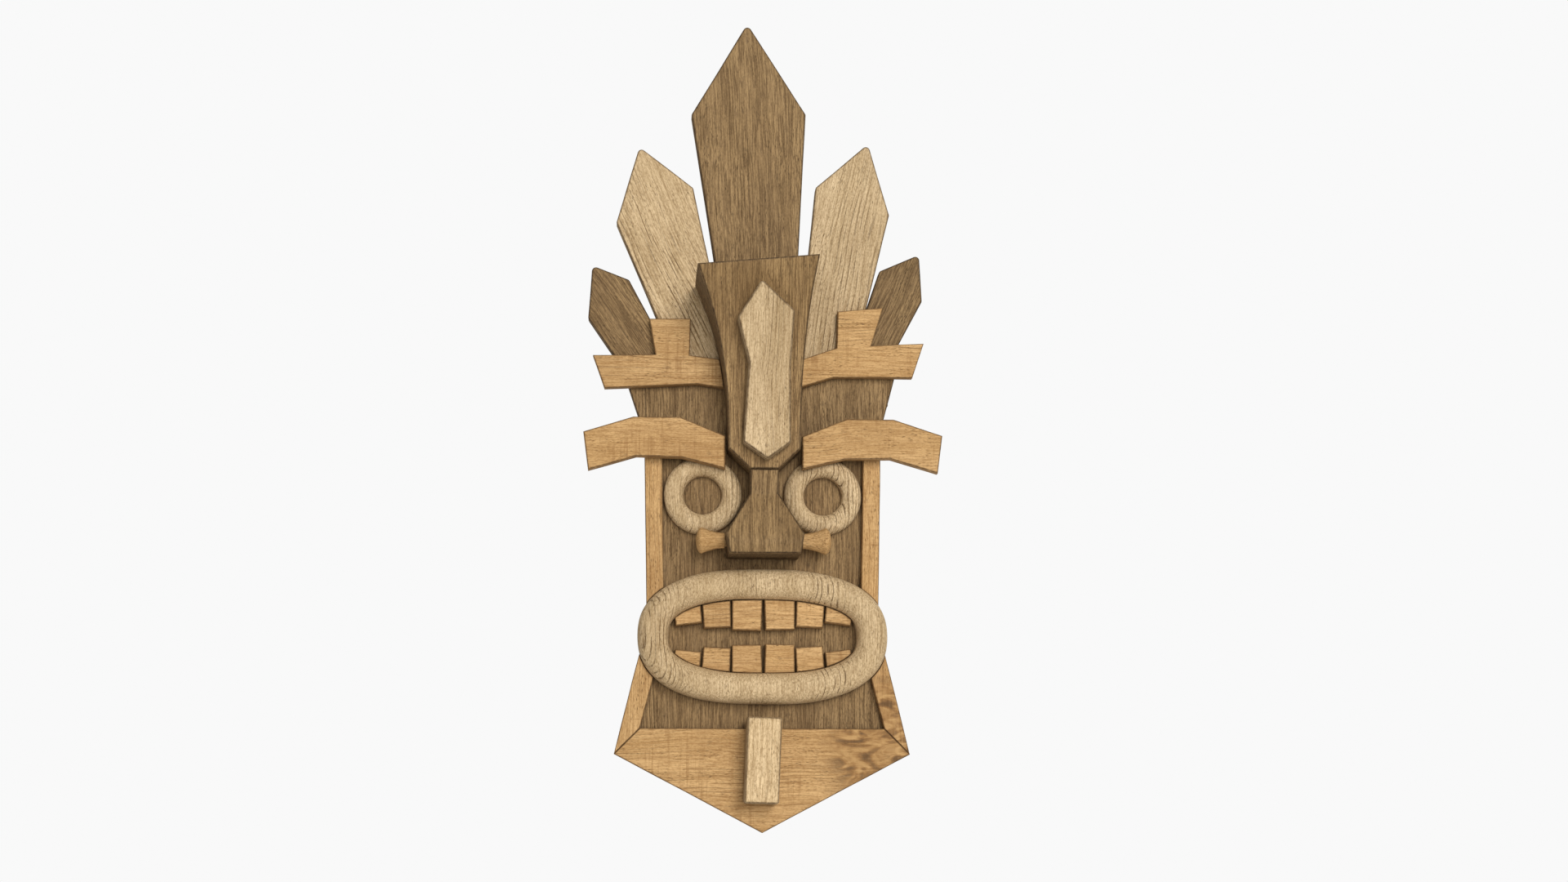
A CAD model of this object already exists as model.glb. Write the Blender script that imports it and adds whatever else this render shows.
"""The looks of the carved wooden wall mask.

Every wooden piece is rebuilt from its CAD outline as a fine mesh with rounded, slightly worn edges and a
solid grain that runs through it. Lengths are in metres, in the CAD frame: +Z up, the face looks along -Y.
"""
import math
import zlib

import bmesh
import bpy
import numpy as np
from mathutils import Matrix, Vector, geometry, noise
from mathutils.bvhtree import BVHTree


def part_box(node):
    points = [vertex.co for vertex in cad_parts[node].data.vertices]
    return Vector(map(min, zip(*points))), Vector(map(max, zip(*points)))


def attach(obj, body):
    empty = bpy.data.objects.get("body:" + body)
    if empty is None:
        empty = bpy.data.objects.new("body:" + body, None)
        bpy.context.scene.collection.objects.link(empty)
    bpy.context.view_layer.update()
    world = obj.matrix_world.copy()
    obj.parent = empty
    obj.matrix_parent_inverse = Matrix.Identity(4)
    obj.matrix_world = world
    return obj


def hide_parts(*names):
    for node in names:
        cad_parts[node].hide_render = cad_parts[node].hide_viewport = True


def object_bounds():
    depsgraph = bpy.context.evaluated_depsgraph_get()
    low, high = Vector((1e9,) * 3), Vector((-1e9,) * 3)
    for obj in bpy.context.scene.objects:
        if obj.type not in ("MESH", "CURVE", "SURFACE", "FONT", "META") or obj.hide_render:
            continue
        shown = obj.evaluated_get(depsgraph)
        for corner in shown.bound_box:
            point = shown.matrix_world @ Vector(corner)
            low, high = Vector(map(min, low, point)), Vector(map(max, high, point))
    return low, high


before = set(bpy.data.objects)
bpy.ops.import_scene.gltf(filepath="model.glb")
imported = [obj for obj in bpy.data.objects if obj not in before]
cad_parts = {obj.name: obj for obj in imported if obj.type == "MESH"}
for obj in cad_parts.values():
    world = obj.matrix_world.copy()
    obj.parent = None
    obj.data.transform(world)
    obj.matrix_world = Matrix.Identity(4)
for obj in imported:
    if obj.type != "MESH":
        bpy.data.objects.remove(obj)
cad_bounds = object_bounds()
MM = 0.001
SIDE_STAIN = 0.72  # how dark the sawn sides of the boards are, from 0 to 1
SUPPORT_GAP = 0.6 * MM  # from a board's rounded rim to the edge of its flat face
NARROWEST = 0.08 * MM  # shortest side that an inset outline may keep
NET_SIZE = 8 * MM  # spacing of the points on a flat face
NET_CLEAR = 4 * MM  # from those points to the edge of the face
BURL_AT = (0.158, -0.045, -0.455)  # the curly patch of grain on the right jaw
FLOOR_RADIUS = 18.0
FLOOR_DROP = 0.65  # from the chin down to the floor
FLOOR_SIDES = 64


# ---- Reading outlines from the CAD nodes ----

def welded(node):
    """A CAD node's points and triangles, with doubled points joined."""
    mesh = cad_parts[node].data
    points = np.array([v.co for v in mesh.vertices])
    rounded, index = np.unique(np.round(points, 6), axis=0, return_inverse=True)
    mesh.calc_loop_triangles()
    triangles = index.reshape(-1)[np.array([t.vertices for t in mesh.loop_triangles])]
    return rounded, triangles


def loops_at(node, y=None):
    """Closed outlines of a node's flat face at depth y, as lists of (x, z), widest first.

    With no y it takes everything that looks forward, for a shaped front face.
    """
    points, triangles = welded(node)
    if y is None:
        a, b, c = (points[triangles[:, k]] for k in (0, 1, 2))
        normal = np.cross(b - a, c - a)
        flat = triangles[normal[:, 1] < -0.5 * np.linalg.norm(normal, axis=1)]
    else:
        flat = [t for t in triangles if np.all(np.abs(points[t][:, 1] - y) < 0.02 * MM)]
    count = {}
    for a, b, c in flat:
        for edge in ((a, b), (b, c), (c, a)):
            key = tuple(sorted(edge))
            count[key] = count.get(key, 0) + 1
    links = {}
    for (a, b), uses in count.items():
        if uses == 1:
            links.setdefault(a, []).append(b)
            links.setdefault(b, []).append(a)
    loops = []
    while links:
        start = next(iter(links))
        loop, here = [start], links[start][0]
        before = start
        while here != start:
            loop.append(here)
            onward = [n for n in links[here] if n != before]
            before, here = here, (onward[0] if onward else start)
        for n in loop:
            links.pop(n, None)
        loops.append([(points[n][0], points[n][2]) for n in loop])
    return sorted(loops, key=lambda loop: -np.ptp(np.array(loop)[:, 0]))


def signed_area(loop):
    x, z = np.array(loop).T
    return 0.5 * float(np.sum(x * np.roll(z, -1) - np.roll(x, -1) * z))


def turns(p):
    """How far the loop turns at each point, in radians, positive to the left."""
    a, b = p - np.roll(p, 1, 0), np.roll(p, -1, 0) - p
    return np.arctan2(a[:, 0] * b[:, 1] - a[:, 1] * b[:, 0], np.sum(a * b, 1))


def corners_only(loop, shortest=0.6 * MM):
    """The loop's corners, with no point on a straight side and no side shorter than shortest."""
    p = np.array(loop)
    while len(p) > 4:
        bend = np.abs(turns(p))
        side = np.linalg.norm(np.roll(p, -1, 0) - p, axis=1)
        i = int(np.argmin(side))
        if side[i] < shortest:
            j = (i + 1) % len(p)
            p = np.delete(p, i if bend[i] < bend[j] else j, 0)
        elif bend.min() < 1e-3:
            p = np.delete(p, int(np.argmin(bend)), 0)
        else:
            break
    return [tuple(q) for q in p]


def outline(node, y=None):
    """A node's outer edge at depth y, or of its front face, counter-clockwise in (x, z)."""
    loop = corners_only(loops_at(node, y)[0])
    return loop if signed_area(loop) > 0 else loop[::-1]


def wells_of(node, y):
    """The countersunk holes in a node's flat back face: (x, z, radius, depth) of each."""
    wells = []
    for loop in loops_at(node, y)[1:]:
        p = np.array(loop)
        size = np.ptp(p, axis=0)
        if 6 * MM < size[0] < 12 * MM and abs(size[0] - size[1]) < MM:
            wells.append((*((p.max(0) + p.min(0)) / 2), size[0] / 2, 2.4 * MM))
    return wells


def divided(loop, step, inset):
    """The loop with its long sides cut into steps, kept clear of where an inset moves its corners."""
    p = np.array(loop)
    bend = turns(p)
    half = (math.pi - bend) / 2
    slide = np.where(bend > 0.05, inset * np.minimum(1 / np.sin(half), 2) * np.cos(half) + MM, 0)
    out = []
    for i in range(len(p)):
        j = (i + 1) % len(p)
        length = float(np.linalg.norm(p[j] - p[i]))
        start, room = slide[i], length - slide[i] - slide[j]
        out.append(tuple(p[i]))
        n = max(1, round(room / step))
        for k in range(n + 1):
            at = start + room * k / n
            if room > 0.4 * step and 0.1 * MM < at < length - 0.1 * MM:
                out.append(tuple(p[i] + (p[j] - p[i]) * at / length))
    return out


def inward_normals(loop):
    """Unit inward direction at each point of a counter-clockwise loop, lengthened at corners."""
    p = np.array(loop)
    side = np.roll(p, -1, 0) - p
    side /= np.linalg.norm(side, axis=1)[:, None]
    after = np.stack([-side[:, 1], side[:, 0]], 1)
    before = np.roll(after, 1, 0)
    mean = after + before
    mean /= np.linalg.norm(mean, axis=1)[:, None]
    return mean / np.clip(np.sum(mean * after, axis=1), 0.5, 1)[:, None]


def crossings(p):
    """The pairs of sides of a loop that cross each other."""
    q = np.roll(p, -1, 0)

    def left_of(a, b, c):
        return (b[..., 0] - a[..., 0]) * (c[..., 1] - a[..., 1]) > \
               (b[..., 1] - a[..., 1]) * (c[..., 0] - a[..., 0])

    a, b, c, d = p[:, None], q[:, None], p[None], q[None]
    cross = (left_of(a, b, c) != left_of(a, b, d)) & (left_of(c, d, a) != left_of(c, d, b))
    apart = np.abs(np.subtract.outer(np.arange(len(p)), np.arange(len(p))))
    cross &= (apart > 1) & (apart < len(p) - 1)
    return [(i, j) for i, j in np.argwhere(cross) if i < j]


def eased_inset(points, inward, inset):
    """The share of an inset that each point takes, so that the inset loop never turns back."""
    n = len(points)
    share = np.ones(n)
    side = np.roll(points, -1, 0) - points
    side /= np.linalg.norm(side, axis=1)[:, None]
    for _ in range(60):
        moved = points + inward * (inset * share)[:, None]
        left = np.sum((np.roll(moved, -1, 0) - moved) * side, axis=1)
        short = left < NARROWEST
        tight = short | np.roll(short, 1)
        for i, j in crossings(moved):
            between = (np.arange(i, j + 2) if j - i < n / 2 else np.arange(j, i + n + 2)) % n
            tight[between] = True
        if not tight.any():
            break
        share[tight] *= 0.9
    return share


# ---- Making meshes ----

def seed_of(name):
    return zlib.crc32(name.encode()) % 1000


TONES = {  # how light each board is against the rest of its species
    "beard_block": 1.16, "forehead_block": 1.20, "crown_board_outer_left": 0.96,
    "crown_board_outer_right": 0.90, "crown_board_inner_right": 0.96, "headband_left": 0.97,
    "headband_right": 1.04, "upper_tooth_2": 0.94, "lower_tooth_4": 1.05, "lower_tooth_6": 0.93,
    "upper_tooth_5": 1.05, "jaw_strip_left": 0.95, "cheek_strip_right": 1.04, "lower_batten": 0.93}


def finish_mesh(name, verts, faces, rim, grain_angle, species, smooth_angle=40, front=None):
    """A mesh object with the attributes that its wood needs: grain, rim and tone."""
    mesh = bpy.data.meshes.new(name)
    mesh.from_pydata([tuple(v) for v in verts], [], faces)
    mesh.validate()
    bm = bmesh.new()
    bm.from_mesh(mesh)
    bmesh.ops.recalc_face_normals(bm, faces=bm.faces)
    bm.to_mesh(mesh)
    bm.free()
    mesh.attributes.new("grain", "FLOAT_VECTOR", "POINT")
    mesh.attributes.new("rim", "FLOAT", "POINT")
    mesh.attributes.new("tone", "FLOAT", "POINT")
    co = np.array([v.co for v in mesh.vertices])
    s, c = math.sin(grain_angle), math.cos(grain_angle)
    shift = seed_of(name) * 0.0037
    along = co[:, 0] * s + co[:, 2] * c + shift
    across = co[:, 0] * c - co[:, 2] * s + shift * 0.61
    face = np.array([front(x, z) for x, _, z in co]) if front else 0.0
    deep = co[:, 1] - face + shift * 0.29
    grain = np.stack([along, across, deep], 1).astype(np.float32)
    mesh.attributes["grain"].data.foreach_set("vector", grain.ravel())
    mesh.attributes["rim"].data.foreach_set("value", np.array(rim, np.float32))
    tone = np.full(len(co), TONES.get(name, 1.0), np.float32)
    mesh.attributes["tone"].data.foreach_set("value", tone)
    for polygon in mesh.polygons:
        polygon.use_smooth = True
    mesh.set_sharp_from_angle(angle=math.radians(smooth_angle))
    piece = bpy.data.objects.new(name, mesh)
    bpy.context.scene.collection.objects.link(piece)
    mesh.materials.append(WOODS[species]())
    return piece


def wobble(x, y, z, size, seed):
    """Smooth noise from -1 to 1 with features of about the given size."""
    return noise.noise(Vector((x / size + seed, y / size + seed * 0.7, z / size - seed)))


def worn(verts, rim, seed, sway=0.35 * MM, dents=0.5 * MM, out=None):
    """Hand-worked surface: a slow sway everywhere, and small dents along the edges."""
    worn_verts = []
    for i, (x, y, z) in enumerate(verts):
        slow = wobble(x, y, z, 55 * MM, seed)
        chip = max(0.0, wobble(x, y, z, 9 * MM, seed + 40) - 0.25)
        direction = out[i]
        amount = sway * slow - dents * rim[i] * chip * 1.6
        worn_verts.append((x + direction[0] * amount, y + direction[1] * amount,
                           z + direction[2] * amount))
    return worn_verts


def cut_at_heights(loop, heights):
    """The loop with a point added wherever a side crosses one of the heights."""
    out = []
    for (x0, z0), (x1, z1) in zip(loop, loop[1:] + loop[:1]):
        out.append((x0, z0))
        crossed = [h for h in heights if min(z0, z1) + MM < h < max(z0, z1) - MM]
        for h in sorted(crossed, reverse=z1 < z0):
            out.append((x0 + (x1 - x0) * (h - z0) / (z1 - z0), h))
    return out


def board(name, species, edge_r=1.6 * MM, grain=None, front=None, back=None, creases=(),
          step=5 * MM, sway=0.35 * MM, dents=0.5 * MM):
    """A sawn board from its CAD node: rounded rims, finely divided caps and sides.

    front(x, z) gives the depth of a shaped front face, which bends sharply at the heights in creases,
    and back(x, z) that of a shaped back.
    """
    low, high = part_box(name)
    y_back, y_front = high.y, low.y
    if back:
        loop, wells = outline(name), ()
    else:
        loop, wells = outline(name, y_back if front else y_front), wells_of(name, y_back)
    support = edge_r + SUPPORT_GAP
    loop = divided(cut_at_heights(loop, creases), step, support)
    inward = inward_normals(loop)
    points = np.array(loop)
    share_of = eased_inset(points, inward, support)
    n = len(loop)
    thick = max((back(x, z) if back else y_back) - (front(x, z) if front else y_front)
                for x, z in points)
    sides = max(2, round((thick - 2 * edge_r) / (6 * MM)))
    rings = []  # (inset, depth from the back as a share, distance past that share, rim)
    rings.append((support, 0.0, 0.0, 0.0))
    for a in (0, 30, 60, 90):
        t = math.radians(a)
        rings.append((edge_r * (1 - math.sin(t)), 0.0, edge_r * (1 - math.cos(t)),
                      0.15 + 0.85 * math.sin(2 * t)))
    for i in range(1, sides):
        rings.append((0.0, i / sides, edge_r * (1 - 2 * i / sides), SIDE_STAIN))
    for a in (0, 30, 60, 90):
        t = math.radians(a)
        rings.append((edge_r * (1 - math.cos(t)), 1.0, -edge_r * (1 - math.sin(t)),
                      0.15 + 0.85 * math.sin(2 * t)))
    rings.append((support, 1.0, 0.0, 0.0))
    verts, rim, out = [], [], []
    for k, (inset, share, extra, edge) in enumerate(rings):
        for i in range(n):
            x, z = points[i] + inward[i] * inset * share_of[i]
            face = front(x, z) if front else y_front
            base = back(x, z) if back else y_back
            shallow = min(1.0, 0.42 * (base - face) / edge_r)
            verts.append((x, base + (face - base) * share - extra * shallow, z))
            rim.append(edge)
            lean = 1.0 if k in (0, len(rings) - 1) else 0.0
            y_way = (1 if k == 0 else -1) * lean
            out.append((-inward[i][0] * (1 - lean), y_way, -inward[i][1] * (1 - lean)))
    faces = []
    for k in range(len(rings) - 1):
        for i in range(n):
            j = (i + 1) % n
            faces.append((k * n + i, k * n + j, (k + 1) * n + j, (k + 1) * n + i))
    for k, y_way in ((0, 1), (len(rings) - 1, -1)):
        edge_ids = list(range(k * n, k * n + n))
        holes = wells if y_way > 0 else ()
        if y_way > 0:
            add_cap(verts, faces, rim, out, edge_ids, y_way, holes, back)
        else:
            add_cap(verts, faces, rim, out, edge_ids, y_way, holes, front, creases)
    verts = worn(verts, rim, seed_of(name), sway, dents, out)
    angle = long_axis(loop) if grain is None else math.radians(grain)
    return finish_mesh(name, verts, faces, rim, angle, species, front=front)


def add_cap(verts, faces, rim, out, edge_ids, y_way, wells, front=None, creases=()):
    """Fills a ring of points with an even net of triangles, leaving the wells sunk in."""
    border = [(verts[i][0], verts[i][2]) for i in edge_ids]
    y = verts[edge_ids[0]][1]
    box = np.array(border)
    low, high = box.min(0), box.max(0)
    extra = []
    well_rings = []
    for wx, wz, wr, wd in wells:
        start = len(extra)
        for k in range(20):
            a = math.tau * k / 20
            extra.append((wx + wr * math.cos(a), wz + wr * math.sin(a)))
        well_rings.append(list(range(start, start + 20)))
    rows = int((high[1] - low[1]) / (NET_SIZE * 0.866)) + 1
    cols = int((high[0] - low[0]) / NET_SIZE) + 1
    crease_rows = []
    for crease in creases:
        for z in (crease - 1.5 * MM, crease + 1.5 * MM):
            start = len(extra)
            extra += [(x, z) for x in np.arange(low[0], high[0], 5 * MM)
                      if inside(x, z, box, 1.2 * MM)]
            crease_rows.append(range(start, len(extra)))
    for r in range(rows):
        for c in range(cols):
            x = low[0] + NET_SIZE * (c + 0.5 * (r % 2))
            z = low[1] + NET_SIZE * 0.866 * r
            off_wells = all(math.hypot(x - w[0], z - w[1]) > w[2] + 2 * MM for w in wells)
            off_creases = all(abs(z - crease) > 4 * MM for crease in creases)
            if inside(x, z, box, NET_CLEAR) and off_wells and off_creases:
                extra.append((x, z))
    coords = [Vector(p) for p in border + extra]
    n = len(border)
    edges = [(i, (i + 1) % n) for i in range(n)]
    edges += [(n + k, n + k + 1) for row in crease_rows for k in row[:-1]]
    for ids in well_rings:
        edges += [(n + ids[k], n + ids[(k + 1) % 20]) for k in range(20)]
    made = geometry.delaunay_2d_cdt(coords, edges, [], 1, 1e-7)
    new_coords, new_faces, origins = made[0], made[2], made[3]
    ids = []
    for p, old in zip(new_coords, origins):
        known = [o for o in old if o < n]
        if known:
            ids.append(edge_ids[known[0]])
            continue
        ids.append(len(verts))
        depth = front(p.x, p.y) if front else y
        verts.append((p.x, depth, p.y))
        rim.append(0.0)
        out.append((0.0, float(y_way), 0.0))
    for face in new_faces:
        centre = sum((new_coords[i] for i in face), Vector((0, 0))) / len(face)
        if any(math.hypot(centre.x - w[0], centre.y - w[1]) < w[2] for w in wells):
            continue
        faces.append(tuple(ids[i] for i in face))
    lookup = {}
    for k, old in enumerate(origins):
        for o in old:
            lookup[o] = ids[k]
    for (wx, wz, wr, wd), well in zip(wells, well_rings):
        top = [lookup[n + i] for i in well]
        foot = []
        for i in top:
            foot.append(len(verts))
            x, _, z = verts[i]
            verts.append((wx + (x - wx) * 0.9, y - y_way * wd, wz + (z - wz) * 0.9))
            rim.append(0.8)
            out.append((0.0, 0.0, 0.0))
        for k in range(20):
            j = (k + 1) % 20
            faces.append((top[k], top[j], foot[j], foot[k]))
        faces.append(tuple(foot))


def inside(x, z, loop, clear):
    """Whether a point lies inside a loop, and at least clear away from its sides."""
    a, b = loop, np.roll(loop, -1, 0)
    crossing = (a[:, 1] > z) != (b[:, 1] > z)
    with np.errstate(divide="ignore", invalid="ignore"):
        at = a[:, 0] + (z - a[:, 1]) / (b[:, 1] - a[:, 1]) * (b[:, 0] - a[:, 0])
    if np.sum(crossing & (x < at)) % 2 == 0:
        return False
    d = b - a
    t = np.clip(((x - a[:, 0]) * d[:, 0] + (z - a[:, 1]) * d[:, 1]) / np.sum(d * d, 1), 0, 1)
    return float(np.min(np.hypot(a[:, 0] + t * d[:, 0] - x, a[:, 1] + t * d[:, 1] - z))) > clear


def long_axis(loop):
    """Angle of a loop's long axis from +Z towards +X."""
    p = np.array(loop)
    p = p - p.mean(0)
    values, ways = np.linalg.eigh(p.T @ p)
    x, z = ways[:, np.argmax(values)]
    return math.atan2(x, z) if z >= 0 else math.atan2(-x, -z)


def ring(name, species, grain=0, skirt=0.4, steps=200, across=22, sway=0.5 * MM):
    """A ring with a half-round section between its CAD node's inner and outer edges."""
    low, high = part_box(name)
    outer, inner = (np.array(loop) for loop in loops_at(name, high.y)[:2])
    centre = (outer.max(0) + outer.min(0)) / 2

    def resample(loop):
        angles = np.arctan2(loop[:, 1] - centre[1], loop[:, 0] - centre[0])
        order = np.argsort(angles)
        a, p = angles[order], loop[order]
        a = np.concatenate([a - math.tau, a, a + math.tau])
        p = np.concatenate([p, p, p])
        length = np.concatenate([[0], np.cumsum(np.linalg.norm(np.diff(p, axis=0), axis=1))])
        return a, p, length

    a, p, length = resample(outer)
    ai, pi, _ = resample(inner)
    third = len(outer)
    start, end = length[third], length[2 * third]
    at = start + (end - start) * np.arange(steps) / steps
    outer_points = np.stack([np.interp(at, length, p[:, k]) for k in (0, 1)], 1)
    outer_points = smooth_loop(outer_points, 4)
    share = np.interp(at, length, a)
    inner_points = np.stack([np.interp(share, ai, pi[:, k]) for k in (0, 1)], 1)
    for _ in range(6):
        inner_points = nearest_on(inner_points, outer_points, pi)
    inner_points = smooth_loop(inner_points, 4)
    height = high.y - low.y
    section = [(0.04, 0.0), (0.0, 0.02)]
    section += [(0.0, skirt * 0.5), (0.0, skirt)]
    for k in range(1, across):
        t = math.pi * k / across
        section.append((0.5 - 0.5 * math.cos(t), skirt + (1 - skirt) * math.sin(t) ** 0.9))
    section += [(1.0, skirt), (1.0, skirt * 0.5), (1.0, 0.02), (0.96, 0.0)]
    verts, rim, out = [], [], []
    m = len(section)
    for i in range(steps):
        for s, h in section:
            x, z = inner_points[i] * (1 - s) + outer_points[i] * s
            way = outer_points[i] - inner_points[i]
            way = way / np.linalg.norm(way) * (2 * s - 1)
            verts.append((x, high.y - h * height, z))
            rim.append(0.25 if h < skirt else 0.0)
            up = min(1.0, max(0.0, h)) * math.sqrt(max(0.0, 1 - (2 * s - 1) ** 2))
            out.append((way[0] * (1 - up), -up, way[1] * (1 - up)))
    faces = []
    for i in range(steps):
        for k in range(m):
            i2, k2 = (i + 1) % steps, (k + 1) % m
            faces.append((i * m + k, i2 * m + k, i2 * m + k2, i * m + k2))
    verts = worn(verts, [0.0] * len(verts), seed_of(name), sway, 0.0, out)
    return finish_mesh(name, verts, faces, rim, math.radians(grain), species, 60)


def smooth_loop(p, rounds):
    for _ in range(rounds):
        p = 0.25 * np.roll(p, 1, 0) + 0.5 * p + 0.25 * np.roll(p, -1, 0)
    return p


def nearest_on(points, outer_points, loop):
    """Slides each inner point along its loop towards the point that is square across the band."""
    tangent = np.roll(outer_points, -1, 0) - np.roll(outer_points, 1, 0)
    tangent /= np.linalg.norm(tangent, axis=1)[:, None]
    slide = np.sum((points - outer_points) * tangent, axis=1)
    moved = points - tangent * slide[:, None] * 0.5
    fixed = []
    a, b = loop, np.roll(loop, -1, 0)
    d = b - a
    dd = np.maximum(np.sum(d * d, 1), 1e-12)
    for q in moved:
        t = np.clip(np.sum((q - a) * d, 1) / dd, 0, 1)
        near = a + t[:, None] * d
        fixed.append(near[np.argmin(np.sum((near - q) ** 2, 1))])
    return np.array(fixed)


def lathe_along_x(name, species, steps=56, sway=0.6 * MM, facets=0.03, bore=0.0):
    """A turned piece along X, with the CAD node's own radius at each station and no bore."""
    low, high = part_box(name)
    points, _ = welded(name)
    axis_y, axis_z = (low.y + high.y) / 2, (low.z + high.z) / 2
    radius = np.hypot(points[:, 1] - axis_y, points[:, 2] - axis_z)
    stations = {}
    for x, r in zip(np.round(points[:, 0], 5), radius):
        if abs(r - bore) > 0.2 * MM:
            stations[x] = max(stations.get(x, 0.0), r)
    xs = np.array(sorted(stations))
    rs = np.array([stations[x] for x in xs])
    length = np.concatenate([[0], np.cumsum(np.hypot(np.diff(xs), np.diff(rs)))])
    count = 40
    at = length[-1] * np.arange(count + 1) / count
    px, pr = np.interp(at, length, xs), np.interp(at, length, rs)
    pr = np.maximum(pr, 0.2 * MM)
    verts, rim, out = [], [], []
    for x, r in zip(px, pr):
        for k in range(steps):
            a = math.tau * k / steps
            flat = 1 - facets * (0.5 + 0.5 * math.cos(9 * a + 1.3))
            verts.append((x, axis_y + r * flat * math.cos(a), axis_z + r * flat * math.sin(a)))
            rim.append(0.0)
            out.append((0.0, math.cos(a), math.sin(a)))
    faces = []
    for i in range(len(px) - 1):
        for k in range(steps):
            k2 = (k + 1) % steps
            faces.append((i * steps + k, i * steps + k2, (i + 1) * steps + k2, (i + 1) * steps + k))
    last = (len(px) - 1) * steps
    faces.append(tuple(range(steps)))
    faces.append(tuple(range(last, last + steps)))
    verts = worn(verts, rim, seed_of(name), sway, 0.0, out)
    return finish_mesh(name, verts, faces, rim, math.radians(90), species, 50)


def turned_dowels():
    """The round dowels that hold the parts of the face, with chamfered ends, as one piece."""
    points, triangles = welded("locating_dowels")
    group = list(range(len(points)))

    def root(i):
        while group[i] != i:
            group[i] = group[group[i]]
            i = group[i]
        return i

    for a, b, c in triangles:
        group[root(a)] = root(b)
        group[root(b)] = root(c)
    solids = {}
    for i in range(len(points)):
        solids.setdefault(root(i), []).append(points[i])
    verts, faces, rim = [], [], []
    steps = 24
    for solid in solids.values():
        p = np.array(solid)
        low, high = p.min(0), p.max(0)
        x, z, r = (low[0] + high[0]) / 2, (low[2] + high[2]) / 2, (high[0] - low[0]) / 2
        chamfer = 0.8 * MM
        ends = [(low[1], r - chamfer), (low[1] + chamfer, r), (high[1] - chamfer, r),
                (high[1], r - chamfer)]
        start = len(verts)
        for y, radius in ends:
            for k in range(steps):
                a = math.tau * k / steps
                groove = 0.12 * MM * (k % 2)
                verts.append((x + (radius - groove) * math.cos(a), y,
                              z + (radius - groove) * math.sin(a)))
                rim.append(0.0)
        for j in range(3):
            for k in range(steps):
                k2 = (k + 1) % steps
                faces.append((start + j * steps + k, start + j * steps + k2,
                              start + (j + 1) * steps + k2, start + (j + 1) * steps + k))
        faces.append(tuple(range(start, start + steps)))
        faces.append(tuple(range(start + 3 * steps, start + 4 * steps)))
    return finish_mesh("locating_dowels", verts, faces, rim, 0.0, "pale_wood")


# ---- Materials ----

def linear(r, g, b):
    """A colour given as 0-255 display values, as the shader wants it."""
    def one(v):
        v = v / 255
        return v / 12.92 if v <= 0.04045 else ((v + 0.055) / 1.055) ** 2.4
    return (one(r), one(g), one(b), 1.0)


class Graph:
    """Short names for building a material's nodes."""

    def __init__(self, name):
        self.material = bpy.data.materials.new(name)
        self.material.use_nodes = True
        self.tree = self.material.node_tree
        self.tree.nodes.clear()

    def add(self, kind, inputs=(), out=0, **settings):
        node = self.tree.nodes.new(kind)
        for key, value in settings.items():
            setattr(node, key, value)
        for socket, value in dict(inputs).items():
            if isinstance(value, bpy.types.NodeSocket):
                self.tree.links.new(value, node.inputs[socket])
            else:
                node.inputs[socket].default_value = value
        return node.outputs[out]

    def math(self, operation, a, b=0.0, clamp=False):
        return self.add("ShaderNodeMath", {0: a, 1: b}, operation=operation, use_clamp=clamp)

    def scaled(self, vector, scale):
        return self.add("ShaderNodeVectorMath", {0: vector, 1: scale}, operation="MULTIPLY")

    def noise(self, vector, scale=1.0, detail=2.0, rough=0.5, lacunarity=2.0, out="Fac"):
        node = self.tree.nodes.new("ShaderNodeTexNoise")
        self.tree.links.new(vector, node.inputs["Vector"])
        node.inputs["Scale"].default_value = scale
        node.inputs["Detail"].default_value = detail
        node.inputs["Roughness"].default_value = rough
        node.inputs["Lacunarity"].default_value = lacunarity
        return node.outputs[out]

    def dashes(self, vector, size, jitter=1.0):
        """Small scattered dots, 1 inside and 0 outside."""
        node = self.tree.nodes.new("ShaderNodeTexVoronoi")
        self.tree.links.new(vector, node.inputs["Vector"])
        node.inputs["Scale"].default_value = 1.0
        node.inputs["Randomness"].default_value = jitter
        return self.span(node.outputs["Distance"], size, size * 0.45)

    def span(self, value, low, high, to_low=0.0, to_high=1.0):
        """Value rescaled from low..high to to_low..to_high, held at the ends."""
        return self.add("ShaderNodeMapRange", {0: value, 1: low, 2: high, 3: to_low, 4: to_high})

    def mix(self, share, a, b, blend="MIX"):
        node = self.tree.nodes.new("ShaderNodeMix")
        node.data_type = "RGBA"
        node.blend_type = blend
        for socket, value in ((0, share), (6, a), (7, b)):
            if isinstance(value, bpy.types.NodeSocket):
                self.tree.links.new(value, node.inputs[socket])
            else:
                node.inputs[socket].default_value = value
        return node.outputs[2]

    def finish(self, shader):
        output = self.tree.nodes.new("ShaderNodeOutputMaterial")
        self.tree.links.new(shader, output.inputs["Surface"])
        return self.material


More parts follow.
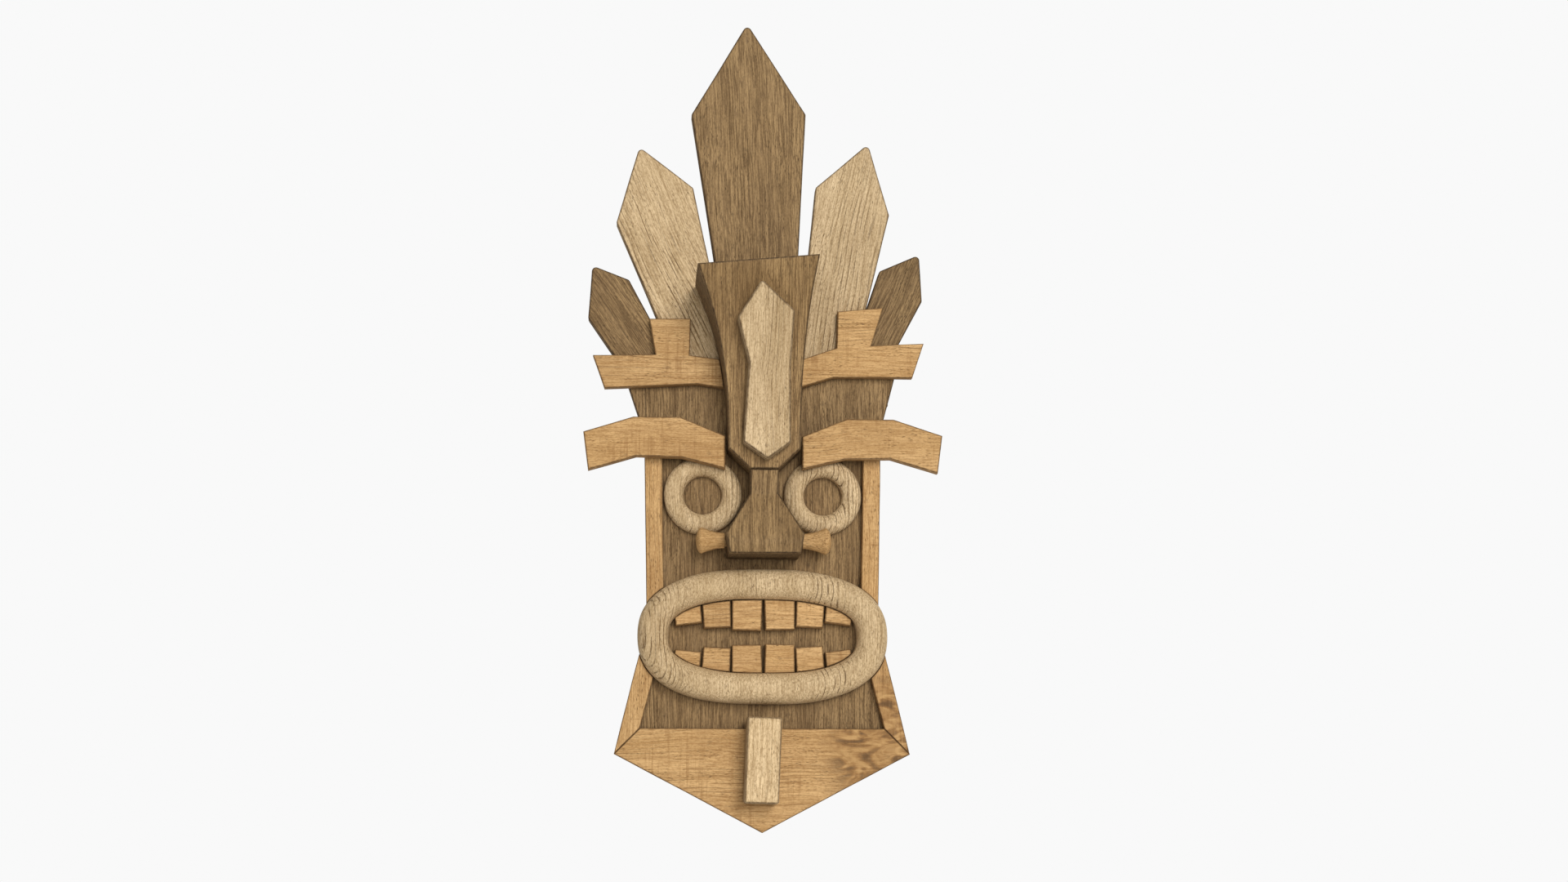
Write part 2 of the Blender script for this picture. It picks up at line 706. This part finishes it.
def wood(name, light, middle, dark, pore, pitch, streaks, lines, fibre, pores, speckle, hatch=0.0,
         blotch=0.3, shine=0.62, relief=1.0, burl=None):
    """Solid wood that follows the grain attribute: streaks, drawn lines, fibre, pores and marks.

    pitch is the distance between streaks. The shares after it say how strongly each kind of mark shows.
    """
    g = Graph(name)
    grain = g.add("ShaderNodeAttribute", attribute_name="grain", out="Vector")
    rim = g.add("ShaderNodeAttribute", attribute_name="rim", out="Fac")
    slow = g.noise(g.scaled(grain, (4, 8, 8)), detail=2, out="Color")
    bend = g.add("ShaderNodeVectorMath", {0: slow, 1: (0.5, 0.5, 0.5)}, operation="SUBTRACT")
    bent = g.add("ShaderNodeVectorMath", {0: grain, 1: g.scaled(bend, (0.0, 0.03, 0.03))},
                 operation="ADD")
    per = 1 / pitch
    bands = g.noise(g.scaled(bent, (2.5, per * 0.22, per * 0.22)), detail=2)
    streak = g.noise(g.scaled(bent, (3.5, per * 1.3, per * 1.3)), detail=3, rough=0.6)
    radius = g.add("ShaderNodeVectorMath", {0: g.scaled(bent, (0.0, per, per))}, out="Value",
                   operation="LENGTH")
    drift = g.noise(g.scaled(bent, (3, per * 0.12, per * 0.12)), detail=2)
    ring = g.math("PINGPONG", g.math("ADD", radius, g.math("MULTIPLY", drift, 5.0)), 0.5)
    fine = g.noise(g.scaled(bent, (14, 620, 620)), detail=2, rough=0.6)
    finest = g.noise(g.scaled(grain, (70, 1000, 1000)), detail=2, rough=0.7)
    patches = g.noise(g.scaled(grain, (7, 11, 11)), detail=3, rough=0.55)
    grit = g.noise(g.scaled(grain, (300, 620, 620)), detail=2, rough=0.7)
    colour = g.mix(g.span(bands, 0.34, 0.66), middle, light)
    colour = g.mix(g.math("MULTIPLY", g.span(streak, 0.52, 0.33), streaks, clamp=True), colour, dark)
    ridge = g.span(ring, 0.15, 0.04)
    where = g.span(g.noise(g.scaled(bent, (2.5, 16, 16)), detail=2), 0.42, 0.60, 0.10, 1.0)
    broken = g.span(g.noise(g.scaled(bent, (26, 160, 160)), detail=2), 0.40, 0.56, 0.05, 1.0)
    line_mask = g.math("MULTIPLY", g.math("MULTIPLY", ridge, where), broken)
    line_mask = g.math("MULTIPLY", line_mask, lines, clamp=True)
    colour = g.mix(line_mask, colour, pore)
    fibre_mask = g.math("MULTIPLY", g.span(fine, 0.54, 0.34), fibre, clamp=True)
    colour = g.mix(fibre_mask, colour, dark)
    colour = g.mix(g.math("MULTIPLY", g.span(fine, 0.54, 0.72), fibre * 0.7, clamp=True), colour,
                   light)
    thread = g.math("MULTIPLY", g.span(finest, 0.52, 0.34), fibre, clamp=True)
    colour = g.mix(thread, colour, dark)
    dash = g.dashes(g.scaled(bent, (110, 620, 620)), 0.27)
    dash_where = g.span(g.noise(g.scaled(bent, (14, 60, 60)), detail=2), 0.44, 0.60)
    dash_mask = g.math("MULTIPLY", g.math("MULTIPLY", dash, dash_where), pores, clamp=True)
    colour = g.mix(dash_mask, colour, pore)
    colour = g.mix(g.math("MULTIPLY", g.span(grit, 0.50, 0.34), speckle, clamp=True), colour, dark)
    colour = g.mix(g.math("MULTIPLY", g.span(grit, 0.52, 0.70), speckle * 0.8, clamp=True), colour,
                   light)
    if hatch:
        saw = g.noise(g.scaled(grain, (260, 14, 14)), detail=2, rough=0.6)
        saw_where = g.span(g.noise(grain, scale=16, detail=2), 0.46, 0.62)
        saw_mask = g.math("MULTIPLY", g.span(saw, 0.48, 0.34), saw_where)
        colour = g.mix(g.math("MULTIPLY", saw_mask, hatch, clamp=True), colour, dark)
    if burl:
        point = g.add("ShaderNodeTexCoord", out="Object")
        off = g.add("ShaderNodeVectorMath", {0: point, 1: burl}, operation="DISTANCE", out="Value")
        ragged = g.noise(point, scale=22, detail=2)
        inside = g.span(g.math("ADD", off, g.math("MULTIPLY", ragged, 0.06)), 0.125, 0.095)
        curl = g.tree.nodes.new("ShaderNodeTexNoise")
        g.tree.links.new(g.scaled(point, (26, 26, 60)), curl.inputs["Vector"])
        curl.inputs["Scale"].default_value = 1.0
        curl.inputs["Detail"].default_value = 4
        curl.inputs["Distortion"].default_value = 1.6
        swirl = g.mix(g.span(curl.outputs["Fac"], 0.34, 0.50), pore, dark)
        swirl = g.mix(g.span(curl.outputs["Fac"], 0.48, 0.64), swirl, middle)
        colour = g.mix(g.math("MULTIPLY", inside, 0.8), colour, swirl)
    marks = g.noise(g.scaled(grain, (60, 110, 110)), detail=3, rough=0.7)
    mark_mask = g.math("MULTIPLY", g.span(marks, 0.63, 0.74), blotch * 1.4, clamp=True)
    colour = g.mix(mark_mask, colour, pore)
    colour = g.mix(g.math("MULTIPLY", g.span(patches, 0.50, 0.70), blotch, clamp=True), colour, dark)
    rim_break = g.noise(grain, scale=200, detail=3)
    rim_mask = g.math("MULTIPLY", rim, g.span(rim_break, 0.3, 0.7, 0.60, 1.05), clamp=True)
    colour = g.mix(rim_mask, colour, pore)
    tone = g.add("ShaderNodeAttribute", attribute_name="tone", out="Fac")
    colour = g.add("ShaderNodeVectorMath", {0: colour, "Scale": tone}, operation="SCALE")
    near = g.add("ShaderNodeAmbientOcclusion", {"Distance": 0.006}, out="AO", samples=8)
    colour = g.mix(g.span(near, 0.30, 0.80, 0.36, 0.0), colour, (0.030, 0.018, 0.010, 1.0))
    height = g.math("ADD", g.math("MULTIPLY", streak, 0.5), g.math("MULTIPLY", fine, 0.6))
    height = g.math("SUBTRACT", height, g.math("ADD", dash_mask, line_mask))
    bump = g.add("ShaderNodeBump", {"Strength": 0.5 * relief, "Distance": 0.001, "Height": height})
    rough = g.span(fine, 0.3, 0.7, shine + 0.14, shine)
    shader = g.add("ShaderNodeBsdfPrincipled", {
        "Base Color": colour, "Roughness": rough, "Normal": bump,
        "Specular IOR Level": 0.30, "IOR": 1.45})
    return g.finish(shader)


def cached(make):
    """A material that is made once, when it is first used."""
    made = []

    def get():
        if not made:
            made.append(make())
        return made[0]
    return get


def steel_material():
    g = Graph("steel")
    place = g.add("ShaderNodeTexCoord", out="Object")
    fine = g.noise(g.scaled(place, (900, 900, 2600)), detail=3)
    cloud = g.noise(place, scale=160, detail=4)
    colour = g.mix(g.span(cloud, 0.35, 0.65), (0.42, 0.43, 0.43, 1), (0.58, 0.58, 0.56, 1))
    near = g.add("ShaderNodeAmbientOcclusion", {"Distance": 0.003}, out="AO", samples=6)
    colour = g.mix(g.span(near, 0.3, 0.9, 0.7, 0.0), colour, (0.05, 0.045, 0.04, 1))
    rough = g.span(fine, 0.3, 0.7, 0.30, 0.48)
    bump = g.add("ShaderNodeBump", {"Strength": 0.15, "Distance": 0.0003, "Height": fine})
    return g.finish(g.add("ShaderNodeBsdfPrincipled", {
        "Base Color": colour, "Metallic": 1.0, "Roughness": rough, "Normal": bump}))


WOODS = {
    "dark_wood": cached(lambda: wood(
        "dark_wood", linear(171, 139, 94), linear(148, 118, 77), linear(94, 70, 41),
        linear(50, 35, 20), pitch=4.0 * MM, streaks=0.45, lines=0.75, fibre=0.80, pores=0.9,
        speckle=0.32, blotch=0.32)),
    "pale_wood": cached(lambda: wood(
        "pale_wood", linear(227, 199, 156), linear(208, 180, 137), linear(142, 112, 72),
        linear(80, 58, 34), pitch=5.2 * MM, streaks=0.30, lines=1.0, fibre=0.52, pores=0.8,
        speckle=0.52, blotch=0.22)),
    "golden_wood": cached(lambda: wood(
        "golden_wood", linear(218, 177, 121), linear(197, 156, 101), linear(148, 106, 59),
        linear(84, 58, 33), pitch=5.0 * MM, streaks=0.35, lines=0.55, fibre=0.52, pores=0.9,
        speckle=0.42, hatch=0.5, blotch=0.28, burl=BURL_AT)),
    "batten_wood": cached(lambda: wood(
        "batten_wood", linear(214, 180, 130), linear(196, 160, 110), linear(150, 112, 70),
        linear(96, 70, 44), pitch=7 * MM, streaks=0.6, lines=0.6, fibre=0.4, pores=0.3,
        speckle=0.3, hatch=0.4, blotch=0.2, shine=0.7)),
}
steel = cached(steel_material)


# ---- The pieces ----

def place(piece, slot, body="mask"):
    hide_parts(piece.name.replace("_piece", ""))
    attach(piece, body)


def wooden(name, species, **how):
    """A board piece that stands for its CAD node."""
    piece = board(name, species, **how)
    piece.name = name + "_piece"
    place(piece, species)
    return piece


def front_profile(name):
    """Depth of a shaped front face at each height, found by probing the CAD node from the front."""
    points, triangles = welded(name)
    tree = BVHTree.FromPolygons([Vector(p) for p in points], [tuple(t) for t in triangles])
    low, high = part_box(name)
    zs, ys = [], []
    for z in np.arange(low.z + 0.1 * MM, high.z, 0.5 * MM):
        hits = [tree.ray_cast(Vector((x, low.y - 0.01, z)), Vector((0, 1, 0)))[0]
                for x in np.linspace(low.x + MM, high.x - MM, 25)]
        hits = [hit.y for hit in hits if hit is not None]
        if hits:
            zs.append(z)
            ys.append(min(hits))
    return lambda x, z: float(np.interp(z, zs, ys))


def crown():
    for side in ("outer_left", "inner_left", "centre", "inner_right", "outer_right"):
        species = "pale_wood" if side.startswith("inner") else "dark_wood"
        grain = -25 if side == "inner_left" else None
        wooden("crown_board_" + side, species, edge_r=2.0 * MM, grain=grain)


def head():
    wooden("face_board", "dark_wood", grain=0, edge_r=1.5 * MM)
    for side in ("left", "right"):
        wooden("cheek_strip_" + side, "golden_wood", grain=0, edge_r=1.2 * MM)
        wooden("jaw_strip_" + side, "golden_wood", grain=0, edge_r=1.2 * MM)
        wooden("headband_" + side, "golden_wood", grain=90, edge_r=1.3 * MM)
        wooden("brow_" + side, "golden_wood", grain=90, edge_r=1.8 * MM)
        wooden("brow_spacer_" + side, "dark_wood", grain=90, edge_r=0.8 * MM)
    wooden("chin_board", "golden_wood", grain=90, edge_r=1.3 * MM)
    wooden("beard_block", "pale_wood", grain=0, edge_r=2.2 * MM)
    wooden("beard_spacer", "dark_wood", grain=90, edge_r=0.6 * MM)


def mouth():
    lips = ring("lip_ring", "pale_wood", skirt=0.42, steps=260, across=26, sway=0.8 * MM)
    lips.name = "lip_ring_piece"
    place(lips, "pale_wood")
    for row in ("upper", "lower"):
        for i in range(1, 7):
            wooden(f"{row}_tooth_{i}", "golden_wood", grain=90, edge_r=1.6 * MM, step=4 * MM)


def eyes_and_nose():
    low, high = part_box("nose_peg")
    peg_r = (high.z - low.z) / 2
    for side in ("left", "right"):
        eye = ring("eye_ring_" + side, "pale_wood", skirt=0.3, steps=150, across=18, sway=0.4 * MM)
        eye.name = f"eye_ring_{side}_piece"
        place(eye, "pale_wood")
        knob = lathe_along_x("nose_peg_knob_" + side, "golden_wood", bore=peg_r)
        knob.name = f"nose_peg_knob_{side}_piece"
        place(knob, "golden_wood")
    low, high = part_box("nose_block")
    wooden("nose_block", "dark_wood", grain=0, edge_r=2.0 * MM, front=front_profile("nose_block"),
           creases=(low.z + 14 * MM, high.z - 29 * MM))


def forehead():
    under = front_profile("forehead_block")
    wooden("forehead_block", "dark_wood", grain=0, edge_r=2.2 * MM, front=under)
    wooden("forehead_plaque", "pale_wood", grain=0, edge_r=2.6 * MM,
           front=front_profile("forehead_plaque"), back=lambda x, z: under(x, z) - 0.1 * MM)


def back_of_mask():
    dowels = turned_dowels()
    dowels.name = "locating_dowels_piece"
    place(dowels, "pale_wood")
    peg = lathe_along_x("nose_peg", "golden_wood", sway=0.1 * MM, facets=0.0)
    peg.name = "nose_peg_piece"
    place(peg, "golden_wood")
    wooden("upper_batten", "batten_wood", grain=90, edge_r=1.2 * MM)
    wooden("lower_batten", "batten_wood", grain=90, edge_r=1.2 * MM)


def carried_over():
    """CAD nodes that keep their own shape get eased edges and a material."""
    for name in ("hanger_strap_left", "hanger_strap_right", "hanger_ring_left",
                 "hanger_ring_right", "hanger_screws", "batten_screws", "forehead_screws"):
        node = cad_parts[name]
        node.data.materials.clear()
        node.data.materials.append(steel())
        node.modifiers.new("welded", "WELD").merge_threshold = 0.01 * MM
        eased = node.modifiers.new("eased", "BEVEL")
        eased.width = 0.2 * MM
        eased.segments = 2
        eased.angle_limit = math.radians(40)
        eased.harden_normals = True


def studio():
    """Pale floor, soft lights and a near-white surround."""
    scene = bpy.context.scene
    scene.view_settings.view_transform = "Standard"
    world = bpy.data.worlds.new("surround")
    scene.world = world
    world.use_nodes = True
    tree = world.node_tree
    tree.nodes.clear()
    seen = tree.nodes.new("ShaderNodeBackground")
    seen.inputs["Color"].default_value = (0.947, 0.947, 0.947, 1)
    lit = tree.nodes.new("ShaderNodeBackground")
    lit.inputs["Color"].default_value = (0.40, 0.40, 0.40, 1)
    path = tree.nodes.new("ShaderNodeLightPath")
    pick = tree.nodes.new("ShaderNodeMixShader")
    output = tree.nodes.new("ShaderNodeOutputWorld")
    tree.links.new(path.outputs["Is Camera Ray"], pick.inputs[0])
    tree.links.new(lit.outputs[0], pick.inputs[1])
    tree.links.new(seen.outputs[0], pick.inputs[2])
    tree.links.new(pick.outputs[0], output.inputs["Surface"])

    mesh = bpy.data.meshes.new("floor")
    level = cad_bounds[0][2] - FLOOR_DROP
    angles = [math.tau * k / FLOOR_SIDES for k in range(FLOOR_SIDES)]
    rim = [(FLOOR_RADIUS * math.cos(a), FLOOR_RADIUS * math.sin(a), level) for a in angles]
    mesh.from_pydata(rim, [], [tuple(range(FLOOR_SIDES))])
    floor = bpy.data.objects.new("floor", mesh)
    scene.collection.objects.link(floor)
    g = Graph("floor")
    speck = g.noise(g.add("ShaderNodeTexCoord", out="Object"), scale=6, detail=4)
    tone = g.mix(g.span(speck, 0.3, 0.7), (0.88, 0.88, 0.87, 1), (0.91, 0.91, 0.90, 1))
    mesh.materials.append(g.finish(g.add("ShaderNodeBsdfPrincipled", {
        "Base Color": tone, "Roughness": 0.8})))

    def sun(name, towards, spread, strength):
        """Broad soft light from a direction, given as a point it stands over."""
        light = bpy.data.lights.new(name, "SUN")
        light.angle = math.radians(spread)
        light.energy = strength
        lamp = bpy.data.objects.new(name, light)
        lamp.rotation_euler = (-Vector(towards)).to_track_quat("-Z", "Y").to_euler()
        scene.collection.objects.link(lamp)

    sun("key", (0.32, -1.0, 0.40), 22, 1.18)
    sun("fill", (0.12, -1.0, 0.06), 22, 1.06)
    sun("back", (0.30, 1.0, 0.70), 40, 0.9)


def camera():
    """Slightly below and to the left of the mask, looking up at it."""
    azimuth, elevation, distance = math.radians(-4), math.radians(-10), 2.667
    target = Vector((28.4, 0, -84.7)) * MM
    away = Vector((math.sin(azimuth) * math.cos(elevation),
                   -math.cos(azimuth) * math.cos(elevation), math.sin(elevation)))
    data = bpy.data.cameras.new("camera")
    data.lens = 50
    data.sensor_width = 36
    view = bpy.data.objects.new("camera", data)
    view.location = target + away * distance
    view.rotation_euler = (-away).to_track_quat("-Z", "Y").to_euler()
    bpy.context.scene.collection.objects.link(view)
    bpy.context.scene.camera = view


camera()
studio()
crown()
head()
forehead()
eyes_and_nose()
mouth()
back_of_mask()
carried_over()

bpy.context.view_layer.update()
